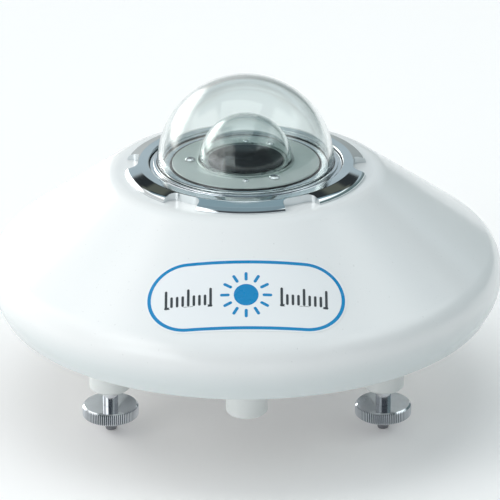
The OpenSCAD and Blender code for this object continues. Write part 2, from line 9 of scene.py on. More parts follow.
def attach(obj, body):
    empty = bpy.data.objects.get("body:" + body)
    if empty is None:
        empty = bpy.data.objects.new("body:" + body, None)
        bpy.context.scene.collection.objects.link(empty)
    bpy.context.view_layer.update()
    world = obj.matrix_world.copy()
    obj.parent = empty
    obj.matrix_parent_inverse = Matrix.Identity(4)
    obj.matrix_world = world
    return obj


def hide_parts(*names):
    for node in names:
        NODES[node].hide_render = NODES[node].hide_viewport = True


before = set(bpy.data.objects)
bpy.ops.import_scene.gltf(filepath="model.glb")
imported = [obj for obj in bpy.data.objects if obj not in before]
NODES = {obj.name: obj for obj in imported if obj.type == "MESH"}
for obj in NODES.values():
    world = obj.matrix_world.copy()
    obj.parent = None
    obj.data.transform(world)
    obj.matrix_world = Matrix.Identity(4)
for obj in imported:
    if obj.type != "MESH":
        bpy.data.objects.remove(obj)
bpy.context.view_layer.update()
MM = 0.001
SCENE = bpy.context.scene
random.seed(7)


# ---------------------------------------------------------------- shader helpers
class Mat:
    """A Principled material with its procedural inputs. Coordinates are the object's, in metres."""

    def __init__(self, name, base, rough, metal=0.0, **sockets):
        self.m = bpy.data.materials.new(name)
        self.m.use_nodes = True
        self.t = self.m.node_tree
        self.b = self.t.nodes["Principled BSDF"]
        self.set("Base Color", (*base, 1.0))
        self.set("Roughness", rough)
        self.set("Metallic", metal)
        for k, v in sockets.items():
            self.set(k.replace("_", " "), v)
        self._co = None
        self._normal = None

    def set(self, socket, value):
        self.b.inputs[socket].default_value = value

    def node(self, kind, **props):
        n = self.t.nodes.new(kind)
        for k, v in props.items():
            setattr(n, k, v)
        return n

    def link(self, a, b):
        self.t.links.new(a, b)

    def co(self):
        if self._co is None:
            self._co = self.node("ShaderNodeTexCoord").outputs["Object"]
        return self._co

    def put(self, sock, v):
        if hasattr(v, "is_linked") or hasattr(v, "links"):
            self.link(v, sock)
        else:
            sock.default_value = v

    def math(self, op, a, b=0.0, c=None):
        n = self.node("ShaderNodeMath", operation=op)
        self.put(n.inputs[0], a)
        self.put(n.inputs[1], b)
        if c is not None:
            self.put(n.inputs[2], c)
        return n.outputs[0]

    def mapped(self, scale=(1, 1, 1), loc=(0, 0, 0)):
        n = self.node("ShaderNodeMapping")
        self.link(self.co(), n.inputs["Vector"])
        n.inputs["Scale"].default_value = scale
        n.inputs["Location"].default_value = loc
        return n.outputs[0]

    def noise(self, scale, detail=2.0, rough=0.5, vec=None, distort=0.0):
        n = self.node("ShaderNodeTexNoise")
        self.link(vec or self.co(), n.inputs["Vector"])
        n.inputs["Scale"].default_value = scale
        n.inputs["Detail"].default_value = detail
        n.inputs["Roughness"].default_value = rough
        n.inputs["Distortion"].default_value = distort
        return n.outputs["Fac"]

    def voronoi(self, scale, feature="F1", vec=None, out="Distance"):
        n = self.node("ShaderNodeTexVoronoi", feature=feature)
        self.link(vec or self.co(), n.inputs["Vector"])
        n.inputs["Scale"].default_value = scale
        return n.outputs[out]

    def remap(self, v, lo, hi, a, b, smooth=False):
        n = self.node("ShaderNodeMapRange", interpolation_type="SMOOTHSTEP" if smooth else "LINEAR")
        self.link(v, n.inputs["Value"])
        for k, x in zip(("From Min", "From Max", "To Min", "To Max"), (lo, hi, a, b)):
            n.inputs[k].default_value = x
        return n.outputs[0]

    def mix(self, fac, a, b):
        n = self.node("ShaderNodeMix", data_type="RGBA")
        self.put(n.inputs[0], fac)
        self.put(n.inputs[6], a if hasattr(a, "links") else (*a, 1.0) if len(a) == 3 else a)
        self.put(n.inputs[7], b if hasattr(b, "links") else (*b, 1.0) if len(b) == 3 else b)
        return n.outputs[2]

    def radius(self, cx=0.0, cy=0.0, axis="Z"):
        """Distance from an axis through (cx, cy), in metres."""
        s = self.node("ShaderNodeSeparateXYZ")
        self.link(self.co(), s.inputs[0])
        a, b = {"Z": (0, 1), "X": (1, 2), "Y": (0, 2)}[axis]
        x = self.math("SUBTRACT", s.outputs[a], cx)
        y = self.math("SUBTRACT", s.outputs[b], cy)
        return self.math("SQRT", self.math("ADD", self.math("MULTIPLY", x, x), self.math("MULTIPLY", y, y)))

    def turned(self, cx=0.0, cy=0.0, axis="Z", scale=9000.0, stretch=40.0):
        """Fine lines round an axis, as a lathe leaves them: noise of the radius, with a slow change along the axis."""
        r = self.radius(cx, cy, axis)
        s = self.node("ShaderNodeSeparateXYZ")
        self.link(self.co(), s.inputs[0])
        z = s.outputs[{"Z": 2, "X": 0, "Y": 1}[axis]]
        v = self.node("ShaderNodeCombineXYZ")
        self.link(self.math("MULTIPLY", r, scale), v.inputs[0])
        self.link(self.math("MULTIPLY", z, scale), v.inputs[1])
        n = self.node("ShaderNodeTexNoise")
        self.link(v.outputs[0], n.inputs["Vector"])
        n.inputs["Scale"].default_value = 1.0
        n.inputs["Detail"].default_value = 3.0
        return n.outputs["Fac"]

    def colour(self, sock):
        self.link(sock, self.b.inputs["Base Color"])

    def rough(self, sock):
        self.link(sock, self.b.inputs["Roughness"])

    def bump(self, height, strength, dist):
        n = self.node("ShaderNodeBump")
        n.inputs["Strength"].default_value = strength
        n.inputs["Distance"].default_value = dist
        self.link(height, n.inputs["Height"])
        if self._normal is not None:
            self.link(self._normal, n.inputs["Normal"])
        self._normal = n.outputs[0]
        self.link(self._normal, self.b.inputs["Normal"])


def painted(name, a, b, rough=(0.3, 0.4), peel=(900.0, 0.05, 0.0001), coat=0.0, coat_rough=0.1, specks=True, patch=14.0):
    """Paint or moulded plastic: slow change of tone, a fine skin, and a few darker specks."""
    m = Mat(name, a, rough[0])
    if coat:
        m.set("Coat Weight", coat)
        m.set("Coat Roughness", coat_rough)
    tone = m.mix(m.remap(m.noise(patch, 3.0), 0.3, 0.7, 0.0, 1.0), a, b)
    if specks:
        dirt = m.remap(m.noise(1100.0, 1.0), 0.74, 0.80, 0.0, 0.35)
        tone = m.mix(dirt, tone, tuple(0.55 * x for x in a))
    m.colour(tone)
    m.rough(m.remap(m.noise(70.0, 4.0), 0.3, 0.7, rough[0], rough[1]))
    m.bump(m.noise(peel[0], 2.0), peel[1], peel[2])
    return m


def polished(name, base, rough=(0.05, 0.12), turned=None, lines=0.02, smudge=28.0):
    """Polished or turned metal: smudges in the gloss and fine tool lines round its axis."""
    m = Mat(name, base, rough[0], 1.0)
    dark = tuple(0.86 * x for x in base)
    m.colour(m.mix(m.remap(m.noise(smudge, 4.0, 0.6), 0.35, 0.75, 0.0, 1.0), base, dark))
    m.rough(m.remap(m.noise(smudge * 3.1, 5.0, 0.65), 0.35, 0.7, rough[0], rough[1]))
    if turned is not None:
        cx, cy, axis, scale = turned
        m.bump(m.turned(cx, cy, axis, scale), lines, 0.00002)
    return m


# ---------------------------------------------------------------- mesh helpers
def new_object(name, verts, faces, smooth=True, sharp=None):
    me = bpy.data.meshes.new(name)
    me.from_pydata([tuple(v) for v in verts], [], faces)
    me.validate()
    me.update()
    o = bpy.data.objects.new(name, me)
    SCENE.collection.objects.link(o)
    bm = bmesh.new()
    bm.from_mesh(me)
    bmesh.ops.remove_doubles(bm, verts=bm.verts, dist=1e-7)
    bmesh.ops.recalc_face_normals(bm, faces=bm.faces)
    bm.to_mesh(me)
    bm.free()
    for p in me.polygons:
        p.use_smooth = smooth
    if smooth and sharp is not None:
        me.set_sharp_from_angle(angle=math.radians(sharp))
    return o


def lathe(name, profile, segs=192, axis="Z", centre=(0.0, 0.0, 0.0), sharp=28.0):
    """Turns a closed profile of (radius, height) in mm about an axis through centre (mm). Points on the axis make one vertex."""
    verts, rings = [], []
    for r, h in profile:
        ring = []
        if r < 1e-6:
            ring = [len(verts)] * segs
            verts.append((0.0, 0.0, h))
        else:
            for k in range(segs):
                a = 2 * math.pi * k / segs
                ring.append(len(verts))
                verts.append((r * math.cos(a), r * math.sin(a), h))
        rings.append(ring)
    faces = []
    for i in range(len(rings)):
        a, b = rings[i], rings[(i + 1) % len(rings)]
        for k in range(segs):
            q = [a[k], a[(k + 1) % segs], b[(k + 1) % segs], b[k]]
            out = []
            for v in q:
                if v not in out:
                    out.append(v)
            if len(out) > 2:
                faces.append(out)
    cx, cy, cz = centre

    def place(v):
        x, y, h = v
        p = {"Z": (x, y, h), "X": (h, x, y), "Y": (y, h, x)}[axis]
        return ((p[0] + cx) * MM, (p[1] + cy) * MM, (p[2] + cz) * MM)

    return new_object(name, [place(v) for v in verts], faces, True, sharp)


def arc(cx, cy, r, a0, a1, n):
    return [
        (cx + r * math.cos(math.radians(a0 + (a1 - a0) * i / n)), cy + r * math.sin(math.radians(a0 + (a1 - a0) * i / n)))
        for i in range(n + 1)
    ]


def fillet_path(corners, n=14):
    """Path through (x, y, radius) corners with true arcs."""
    out = []
    for i, (x, y, r) in enumerate(corners):
        if i in (0, len(corners) - 1) or r == 0:
            out.append((x, y))
            continue
        p, a, c = Vector((x, y)), Vector(corners[i - 1][:2]), Vector(corners[i + 1][:2])
        u, v = (a - p).normalized(), (c - p).normalized()
        half = math.acos(max(-1, min(1, u.dot(v)))) / 2
        centre = p + (u + v).normalized() * r / math.sin(half)
        p0, p1 = p + u * r / math.tan(half), p + v * r / math.tan(half)
        a0 = math.atan2(*(p0 - centre).yx)
        a1 = math.atan2(*(p1 - centre).yx)
        d = (a1 - a0 + math.pi) % (2 * math.pi) - math.pi
        out += [(centre.x + r * math.cos(a0 + d * k / n), centre.y + r * math.sin(a0 + d * k / n)) for k in range(n + 1)]
    return out


def finish_piece(o, mat, body, replaces=()):
    o.data.materials.clear()
    o.data.materials.append(mat.m)
    if replaces:
        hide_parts(*replaces)
    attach(o, body)
    return o


def dress(node, mat, bevel=0.0, angle=30.0, smooth=30.0):
    """Gives a CAD node its finished material, soft edges and smooth curved faces."""
    o = NODES[node]
    o.data.materials.clear()
    o.data.materials.append(mat.m)
    weld = o.modifiers.new("weld", "WELD")
    weld.merge_threshold = 1e-6
    if bevel:
        flat = o.modifiers.new("flat", "DECIMATE")
        flat.decimate_type = "DISSOLVE"
        flat.angle_limit = math.radians(0.3)
    s = o.modifiers.new("smooth", "NODES")
    s.node_group = smooth_group(smooth)
    if bevel:
        b = o.modifiers.new("edge", "BEVEL")
        b.width = bevel * MM
        b.segments = 2
        b.limit_method = "ANGLE"
        b.angle_limit = math.radians(angle)
        b.use_clamp_overlap = True
        b.harden_normals = True
    return o


_groups = {}


def smooth_group(deg):
    """Geometry nodes that mark edges sharper than an angle, so that curved faces shade smooth."""
    if deg in _groups:
        return _groups[deg]
    g = bpy.data.node_groups.new(f"smooth_{deg:g}", "GeometryNodeTree")
    g.interface.new_socket("Geometry", in_out="INPUT", socket_type="NodeSocketGeometry")
    g.interface.new_socket("Geometry", in_out="OUTPUT", socket_type="NodeSocketGeometry")
    i = g.nodes.new("NodeGroupInput")
    o = g.nodes.new("NodeGroupOutput")
    face = g.nodes.new("GeometryNodeSetShadeSmooth")
    face.domain = "FACE"
    edge = g.nodes.new("GeometryNodeSetShadeSmooth")
    edge.domain = "EDGE"
    ang = g.nodes.new("GeometryNodeInputMeshEdgeAngle")
    cmp = g.nodes.new("FunctionNodeCompare")
    cmp.operation = "LESS_THAN"
    cmp.inputs[1].default_value = math.radians(deg)
    g.links.new(i.outputs[0], face.inputs["Geometry"])
    g.links.new(face.outputs[0], edge.inputs["Geometry"])
    g.links.new(ang.outputs["Unsigned Angle"], cmp.inputs[0])
    g.links.new(cmp.outputs[0], edge.inputs["Shade Smooth"])
    g.links.new(edge.outputs[0], o.inputs[0])
    _groups[deg] = g
    return g


# ---------------------------------------------------------------- materials
BOSS = 61.5
LEFT = (-BOSS * math.cos(math.radians(30)), -BOSS / 2)
RIGHT = (-LEFT[0], LEFT[1])

shield_white = painted(
    "shield_white", (0.835, 0.845, 0.845), (0.87, 0.88, 0.88), rough=(0.20, 0.27), peel=(240.0, 0.012, 0.0003), coat=0.35, coat_rough=0.06
)
# painted shade: a greyer, cooler tone towards the lower edge stands in for the shade on the turned-under band; fitted
# to how dark the band is in the photo; a greyer tone towards the lower edge, fitted to how dark the band is in the
# photo; its cause isn't known
xyz = shield_white.node("ShaderNodeSeparateXYZ")
shield_white.link(shield_white.co(), xyz.inputs[0])
upper_tone = shield_white.b.inputs["Base Color"].links[0].from_socket
shield_white.colour(shield_white.mix(shield_white.remap(xyz.outputs[2], 0.047, 0.060, 1.0, 0.0, True), upper_tone, (0.64, 0.69, 0.695)))
label_film = painted("label_film", (0.85, 0.87, 0.89), (0.87, 0.89, 0.90), rough=(0.16, 0.22), peel=(500.0, 0.01, 0.0002), specks=False)
print_blue = painted("print_blue", (0.004, 0.22, 0.50), (0.006, 0.26, 0.56), rough=(0.24, 0.34), peel=(3000.0, 0.05, 0.00005), specks=False)
print_grey = painted("print_grey", (0.035, 0.042, 0.048), (0.05, 0.056, 0.062), rough=(0.28, 0.38), peel=(3000.0, 0.05, 0.00005), specks=False)
housing_white = painted("housing_white", (0.78, 0.81, 0.80), (0.83, 0.85, 0.84), rough=(0.36, 0.48), peel=(2600.0, 0.10, 0.0001))
ring_chrome = polished("ring_chrome", (0.79, 0.83, 0.845), rough=(0.035, 0.09), turned=(0, 0, "Z", 7000.0), lines=0.05)
bezel_chrome = polished("bezel_chrome", (0.84, 0.86, 0.88), rough=(0.04, 0.09), turned=(0, 0, "Z", 9000.0), lines=0.06)


def knurled(name, base, cx, cy, teeth=84):
    """Polished metal with painted shade in the bottoms between the knurls round (cx, cy)."""
    m = polished(name, base, rough=(0.05, 0.11), turned=(cx, cy, "Z", 8000.0), lines=0.04)
    xyz = m.node("ShaderNodeSeparateXYZ")
    m.link(m.co(), xyz.inputs[0])
    turn = m.math("ARCTAN2", m.math("SUBTRACT", xyz.outputs[1], cy), m.math("SUBTRACT", xyz.outputs[0], cx))
    # painted shade: a dark colour in the knurl grooves on the knob's side stands in for the shade between the teeth
    painted_groove_shade = m.remap(m.math("COSINE", m.math("MULTIPLY", turn, float(teeth))), -0.6, 0.3, 1.0, 0.0, True)
    side = m.remap(m.radius(cx, cy), 0.01050, 0.01062, 0.0, 1.0, True)
    tone = m.mix(m.remap(m.noise(90.0, 4.0, 0.6), 0.35, 0.75, 0.0, 1.0), base, tuple(0.78 * x for x in base))
    m.colour(m.mix(m.math("MULTIPLY", painted_groove_shade, side), tone, (0.13, 0.16, 0.18)))
    return m


knob_left = knurled("knob_chrome_left", (0.74, 0.77, 0.81), LEFT[0] * MM, LEFT[1] * MM)
knob_right = knurled("knob_chrome_right", (0.74, 0.77, 0.81), RIGHT[0] * MM, RIGHT[1] * MM)
stud_chrome = polished("stud_chrome", (0.74, 0.76, 0.79), rough=(0.08, 0.16))
tip_steel = polished("tip_steel", (0.30, 0.31, 0.33), rough=(0.28, 0.42))
screw_steel = polished("screw_steel", (0.66, 0.67, 0.69), rough=(0.14, 0.28), smudge=160.0)
spring_steel = polished("spring_steel", (0.42, 0.43, 0.46), rough=(0.22, 0.36), smudge=60.0)
plate_aluminium = polished("plate_aluminium", (0.62, 0.635, 0.65), rough=(0.26, 0.38), turned=(0, 0, "Z", 2600.0), lines=0.30)
brass = polished("brass", (0.72, 0.52, 0.24), rough=(0.2, 0.34), smudge=120.0)
pin_gold = polished("pin_gold", (0.92, 0.68, 0.28), rough=(0.12, 0.22), smudge=200.0)
connector_metal = polished("connector_metal", (0.56, 0.575, 0.59), rough=(0.22, 0.34), turned=(0, 0.059, "Y", 5000.0), lines=0.12)
rubber_black = painted("rubber_black", (0.022, 0.022, 0.024), (0.034, 0.034, 0.036), rough=(0.62, 0.78), peel=(4200.0, 0.25, 0.00006), specks=False)
insert_black = painted("insert_black", (0.02, 0.02, 0.022), (0.03, 0.03, 0.032), rough=(0.42, 0.55), peel=(5200.0, 0.2, 0.00005), specks=False)
cap_black = painted("cap_black", (0.028, 0.028, 0.031), (0.045, 0.045, 0.048), rough=(0.40, 0.54), peel=(2800.0, 0.18, 0.00007), specks=False)
cup_black = polished("cup_black", (0.10, 0.105, 0.115), rough=(0.34, 0.46), turned=(0, 0, "Z", 3000.0), lines=0.2)
level_black = polished("level_black", (0.07, 0.072, 0.078), rough=(0.30, 0.42), smudge=120.0)
tube_plastic = painted("tube_plastic", (0.80, 0.83, 0.84), (0.85, 0.87, 0.87), rough=(0.22, 0.32), peel=(900.0, 0.04, 0.0001), specks=False)
gel_orange = painted("gel_orange", (0.82, 0.26, 0.03), (0.92, 0.40, 0.07), rough=(0.14, 0.26), peel=(1500.0, 0.1, 0.0001), specks=False, patch=420.0)
board_green = painted("board_green", (0.02, 0.17, 0.07), (0.03, 0.21, 0.09), rough=(0.28, 0.38), peel=(1800.0, 0.08, 0.0001), specks=False)
terminal_green = painted("terminal_green", (0.05, 0.22, 0.14), (0.06, 0.26, 0.17), rough=(0.36, 0.48), peel=(2400.0, 0.1, 0.0001), specks=False)
wire_red = painted("wire_red", (0.52, 0.03, 0.02), (0.60, 0.05, 0.03), rough=(0.36, 0.46), peel=(2000.0, 0.08, 0.0001), specks=False)
wire_blue = painted("wire_blue", (0.02, 0.07, 0.38), (0.03, 0.09, 0.45), rough=(0.36, 0.46), peel=(2000.0, 0.08, 0.0001), specks=False)

# the detector plate: satin, grey-green, with a fine blasted skin and faint turning
detector_grey = Mat("detector_grey", (0.70, 0.79, 0.77), 0.40, 0.15)
detector_grey.colour(
    detector_grey.mix(detector_grey.remap(detector_grey.noise(75.0, 4.0), 0.3, 0.7, 0.0, 1.0), (0.71, 0.81, 0.785), (0.85, 0.92, 0.90))
)
detector_grey.rough(detector_grey.remap(detector_grey.noise(240.0, 4.0), 0.3, 0.7, 0.34, 0.46))
detector_grey.bump(detector_grey.noise(5200.0, 2.0), 0.12, 0.00005)
detector_grey.bump(detector_grey.turned(0, 0, "Z", 3500.0), 0.08, 0.00003)

# the ring at the inner dome's foot: the same metal, a little brighter and with finer turning
collar_grey = Mat("collar_grey", (0.50, 0.57, 0.55), 0.30, 0.6)
collar_grey.colour(
    collar_grey.mix(collar_grey.remap(collar_grey.noise(90.0, 4.0), 0.3, 0.7, 0.0, 1.0), (0.46, 0.53, 0.51), (0.56, 0.62, 0.60))
)
collar_grey.rough(collar_grey.remap(collar_grey.noise(300.0, 3.0), 0.3, 0.7, 0.26, 0.36))
collar_grey.bump(collar_grey.turned(0, 0, "Z", 6000.0), 0.06, 0.00003)

# the absorber: deep black lacquer, a little uneven
absorber_black = Mat("absorber_black", (0.008, 0.010, 0.013), 0.38)
absorber_black.colour(
    absorber_black.mix(absorber_black.remap(absorber_black.noise(180.0, 4.0), 0.3, 0.7, 0.0, 1.0), (0.006, 0.008, 0.011), (0.016, 0.019, 0.024))
)
absorber_black.rough(absorber_black.remap(absorber_black.noise(420.0, 3.0), 0.3, 0.7, 0.42, 0.58))
absorber_black.set("Specular IOR Level", 0.12)
absorber_black.bump(absorber_black.noise(3600.0, 2.0), 0.10, 0.00005)


def glass(name, tint, rough=0.0, ior=1.49):
    m = Mat(name, tint, rough, 0.0)
    m.set("IOR", ior)
    m.set("Transmission Weight", 1.0)
    # the faintest streaks of cleaning and dust
    m.colour(m.mix(m.remap(m.noise(30.0, 3.0), 0.35, 0.75, 0.0, 1.0), tint, tuple(0.985 * x for x in tint)))
    m.rough(m.remap(m.noise(90.0, 4.0), 0.45, 0.85, 0.0, 0.03))
    return m


dome_glass = glass("dome_glass", (0.89, 0.925, 0.92))
level_glass = glass("level_glass", (0.97, 0.99, 0.985))
level_green = glass("level_green", (0.42, 0.90, 0.10), ior=1.36)

# ---------------------------------------------------------------- CAD nodes with their finished materials
dress("front_label", label_film, smooth=25)
dress("lock_ring", ring_chrome)
dress("ring_retainer", spring_steel, bevel=0.08)
dress("shield_gasket", rubber_black)
dress("main_housing", housing_white, smooth=25)
dress("base_flange", housing_white, smooth=25)
dress("support_bosses", housing_white, bevel=0.25)
dress("base_plate", plate_aluminium, bevel=0.15)
dress("base_gasket", rubber_black)
dress("base_screws", screw_steel, bevel=0.06)
dress("levelling_bushes", brass, bevel=0.1)
dress("left_levelling_knob", knob_left)
dress("right_levelling_knob", knob_right)
for side in ("left", "right"):
    dress(f"{side}_levelling_stud", stud_chrome)
    dress(f"{side}_levelling_tip", tip_steel, bevel=0.08)
dress("fixed_foot", plate_aluminium)
dress("foot_pad", rubber_black, bevel=0.1)
dress("foot_nut", screw_steel, bevel=0.1)
dress("dome_bezel", bezel_chrome)
dress("dome_seal", rubber_black)
dress("bezel_screws", screw_steel, bevel=0.06)
dress("inner_dome_ring", collar_grey, bevel=0.05)
dress("detector_plate", detector_grey)
dress("plate_screws", screw_steel, bevel=0.05)
dress("absorber_disc", absorber_black)
dress("thermopile_body", cup_black, bevel=0.08)
dress("sensor_block", plate_aluminium, bevel=0.12)
dress("level_case", level_black, bevel=0.12)
dress("level_fluid", level_green)
dress("level_window", level_glass)
dress("level_screws", screw_steel, bevel=0.05)
dress("connector_socket", connector_metal, bevel=0.12)
dress("connector_insert", insert_black, bevel=0.06)
dress("connector_pins", pin_gold, bevel=0.08)
dress("connector_gasket", rubber_black)
dress("connector_screws", screw_steel, bevel=0.06)
dress("desiccant_tube", tube_plastic, bevel=0.08)
dress("desiccant_gel", gel_orange)
dress("desiccant_seal", rubber_black)
dress("desiccant_cap", cap_black, bevel=0.1)
dress("circuit_board", board_green)
dress("board_standoffs", screw_steel, bevel=0.08)
dress("board_screws", screw_steel, bevel=0.05)
dress("terminal_block", terminal_green, bevel=0.12)
dress("sensor_leads", wire_red)
dress("connector_leads", wire_blue)


# ---------------------------------------------------------------- sun shield
SHIELD_T = 2.5
SLOPE = math.radians(35.9)
CONE_K = math.tan(SLOPE)


def cone_z(r):
    return 97.0 - CONE_K * (r - 52.7)


def inset(path, t):
    out = []
    for i, p in enumerate(path):
        a, b = path[max(0, i - 1)], path[min(len(path) - 1, i + 1)]
        d = Vector((b[0] - a[0], b[1] - a[1])).normalized()
        out.append((p[0] + t * d.y, p[1] - t * d.x))
    return out


path = fillet_path([(41, 97, 0), (52.7, 97, 9), (100, cone_z(100), 12), (100, 50.6, 14), (96.3, 43.5, 0)], 22)
inner = inset(path, SHIELD_T)
tip, d = Vector(path[-1]), (Vector(path[-1]) - Vector(path[-2])).normalized()
tip_in = tip + SHIELD_T * Vector((d.y, -d.x))
lip = [
    tuple((tip + tip_in) / 2 + (tip - tip_in) / 2 * math.cos(a) + d * SHIELD_T / 2 * math.sin(a))
    for a in (math.pi * i / 12 for i in range(1, 12))
]
inner = inner[::-1]
# the collar that centres the shield on the housing's rim, drawn into the inner side of the wall
collar = [(51.6, 94.0), (51.6, 89.3), (51.3, 89.0), (49.9, 89.0), (49.6, 89.3), (49.6, 94.5)]
inner = [p for p in inner if p[0] > 51.9] + collar + [p for p in inner if p[0] < 49.3]
shield = lathe("shield_moulding", path + lip + inner, 288, sharp=40.0)


# ---------------------------------------------------------------- domes
def dome_profile(r, t, zc, z0, n=72):
    outer = [(r * math.cos(a), zc + r * math.sin(a)) for a in (math.pi / 2 * i / n for i in range(n + 1))]
    inner = [((r - t) * math.cos(a), zc + (r - t) * math.sin(a)) for a in (math.pi / 2 * i / n for i in range(n, -1, -1))]
    outer[-1], inner[0] = (0.0, zc + r), (0.0, zc + r - t)
    foot = [(r - t, z0 + 0.25), (r - t + 0.25, z0), (r - 0.25, z0), (r, z0 + 0.25)]
    return outer + inner + foot


def dome_mesh(name, r, t, zc, z0):
    """A shell of glass with a rounded foot, open below: outer skin, inner skin and foot are one closed surface."""
    p = dome_profile(r, t, zc, z0)
    segs = 224
    verts, rings = [], []
    for q, h in p:
        if q < 1e-6:
            rings.append([len(verts)] * segs)
            verts.append((0, 0, h * MM))
        else:
            ring = []
            for k in range(segs):
                a = 2 * math.pi * k / segs
                ring.append(len(verts))
                verts.append((q * math.cos(a) * MM, q * math.sin(a) * MM, h * MM))
            rings.append(ring)
    faces = []
    for i in range(len(rings)):
        a, b = rings[i], rings[(i + 1) % len(rings)]
        if a[0] == a[1] and b[0] == b[1]:
            continue
        for k in range(segs):
            out = []
            for v in (a[k], a[(k + 1) % segs], b[(k + 1) % segs], b[k]):
                if v not in out:
                    out.append(v)
            if len(out) > 2:
                faces.append(out)
    return new_object(name, verts, faces, True, 40.0)


finish_piece(dome_mesh("outer_dome_glass", 34.5, 2.0, 99.6, 98.1), dome_glass, "housing", ["outer_dome"])
finish_piece(dome_mesh("inner_dome_glass", 18.0, 1.5, 101.0, 100.75), dome_glass, "housing", ["inner_dome"])

finish_piece(shield, shield_white, "shield", ["sun_shield", "shield_skirt"])

# ---------------------------------------------------------------- lock ring: turned profile, then six notches with soft edges
bead = arc(47.04, 97.25, 0.25, -90, 5, 6) + arc(44.974, 97.0, 2.326, 6.4, 74.8, 26)
foot = fillet_path([(*bead[-1], 0), (41.7, 100.3, 2.0), (37.7, 100.3, 0.45), (37.7, 98.0, 0)], 6)
inner_edge = [(37.7, 88.8), (38.0, 88.5), (40.4, 88.5), (40.6, 88.7), (40.6, 89.7), (39.6, 89.7), (39.6, 91.5), (40.6, 91.5), (40.6, 97.0), (45.9, 97.0)]
held = [inner_edge[-1]] + bead
for i, q in enumerate(foot[1:]):
    a, b = Vector(held[-1]), Vector(q)
    if (b - a).length > 1.0:
        # two extra circles close to the ends keep the long faces straight
        held += [tuple(a + (b - a).normalized() * 0.05), tuple(b - (b - a).normalized() * 0.05)]
    held.append(q)
ring = lathe("lock_ring_turned", inner_edge[:-1] + held, 324)

NOTCH_H, NOTCH_C, NOTCH_R = 9.0, 3.0, 42.0
nd = math.degrees(math.asin(NOTCH_C / (NOTCH_R + NOTCH_C)))


def polar(r, deg):
    return (r * math.cos(math.radians(deg)), r * math.sin(math.radians(deg)))


def notch_outline():
    cx, cy = polar(NOTCH_R + NOTCH_C, NOTCH_H - nd)
    upper = arc(cx, cy, NOTCH_C, NOTCH_H - nd + 180, NOTCH_H + 90, 14) + [polar(49.6, NOTCH_H)]
    wall = [polar(NOTCH_R, (NOTCH_H - nd) * (2 * i / 12 - 1)) for i in range(1, 12)]
    return [(x, -y) for x, y in reversed(upper)] + wall + upper


cut_verts, cut_faces = [], []
for k in range(6):
    a = math.radians(-92.5 + 30 + 60 * k)
    out = [(x * math.cos(a) - y * math.sin(a), x * math.sin(a) + y * math.cos(a)) for x, y in notch_outline()]
    base, n = len(cut_verts), len(out)
    cut_verts += [(x * MM, y * MM, z * MM) for z in (96.0, 102.0) for x, y in out]
    cut_faces += [[base + i for i in range(n)][::-1], [base + n + i for i in range(n)]]
    cut_faces += [[base + i, base + (i + 1) % n, base + n + (i + 1) % n, base + n + i] for i in range(n)]
cutter = new_object("notch_cutter", cut_verts, cut_faces, False)
b = ring.modifiers.new("notches", "BOOLEAN")
b.operation, b.solver, b.object = "DIFFERENCE", "EXACT", cutter
bpy.context.view_layer.update()
cut = bpy.data.meshes.new_from_object(ring.evaluated_get(bpy.context.evaluated_depsgraph_get()))
ring.modifiers.clear()
ring.data = cut
bpy.data.objects.remove(cutter)
w = ring.modifiers.new("weld", "WELD")
w.merge_threshold = 2e-6
s = ring.modifiers.new("smooth", "NODES")
s.node_group = smooth_group(24.0)
b = ring.modifiers.new("edge", "BEVEL")
b.width, b.segments, b.limit_method, b.angle_limit = 0.45 * MM, 4, "ANGLE", math.radians(32)
b.use_clamp_overlap, b.harden_normals = True, True
finish_piece(ring, ring_chrome, "ring", ["lock_ring"])

# ---------------------------------------------------------------- dome bezel with rolled lips, and a black ring round the detector plate as painted shade in the gap
bezel_path = fillet_path(
    [
        (33.3, 95.5, 0), (33.3, 84.0, 0), (37.4, 84.0, 0.15), (37.4, 99.4, 0.45), (36.0, 99.4, 0.08), (36.0, 100.2, 0.3),
        (34.65, 100.2, 0.3), (34.65, 98.0, 0.08), (32.2, 98.0, 0.08), (32.2, 99.9, 0.35), (29.4, 99.9, 0.4), (29.4, 95.5, 0.1), (33.3, 95.5, 0),
    ],
    6,
)[:-1]
finish_piece(lathe("dome_bezel_turned", bezel_path, 288, sharp=24.0), bezel_chrome, "housing", ["dome_bezel"])
# painted shade: a black ring stands in for the shadow in the gap between the detector plate and the bezel
shadow_ring_path = [(28.78, 97.95), (29.33, 97.95)] + [(29.055 + 0.275 * math.cos(a), 100.0 + 0.26 * math.sin(a)) for a in (math.pi * i / 10 for i in range(11))]
finish_piece(lathe("plate_edge_shadow_ring", shadow_ring_path, 224, sharp=40.0), rubber_black, "housing")

# ---------------------------------------------------------------- label printing
MID_R = 79.0
MID_Z = 97.0 - CONE_K * (MID_R - 52.7)


def on_cone(u, v, h):
    """Point (mm) above the label: u to the right, v up the slope, seen straight on; h above the cone."""
    n = Vector((0, -math.sin(SLOPE), math.cos(SLOPE)))
    up = Vector((0, math.cos(SLOPE), math.sin(SLOPE)))
    p = Vector((u, -MID_R, MID_Z)) + up * v
    s = 0.0
    for _ in range(12):
        q = p + n * s
        r = math.hypot(q.x, q.y)
        gap = (q.z - (97.0 - CONE_K * (r - 52.7))) * math.cos(SLOPE) - h
        s -= gap
    q = p + n * s
    return (q.x * MM, q.y * MM, q.z * MM)


def bar(cx, cy, length, width, angle, step=1.0):
    """Outline of a bar with round ends, anticlockwise."""
    out = []
    c, s = math.cos(angle), math.sin(angle)
    half = (length - width) / 2
    for sign, a0 in ((1, -90), (-1, 90)):
        for i in range(9):
            a = math.radians(a0 + 180 * i / 8)
            x, y = sign * half + width / 2 * math.cos(a), width / 2 * math.sin(a)
            out.append((cx + x * c - y * s, cy + x * s + y * c))
    return out


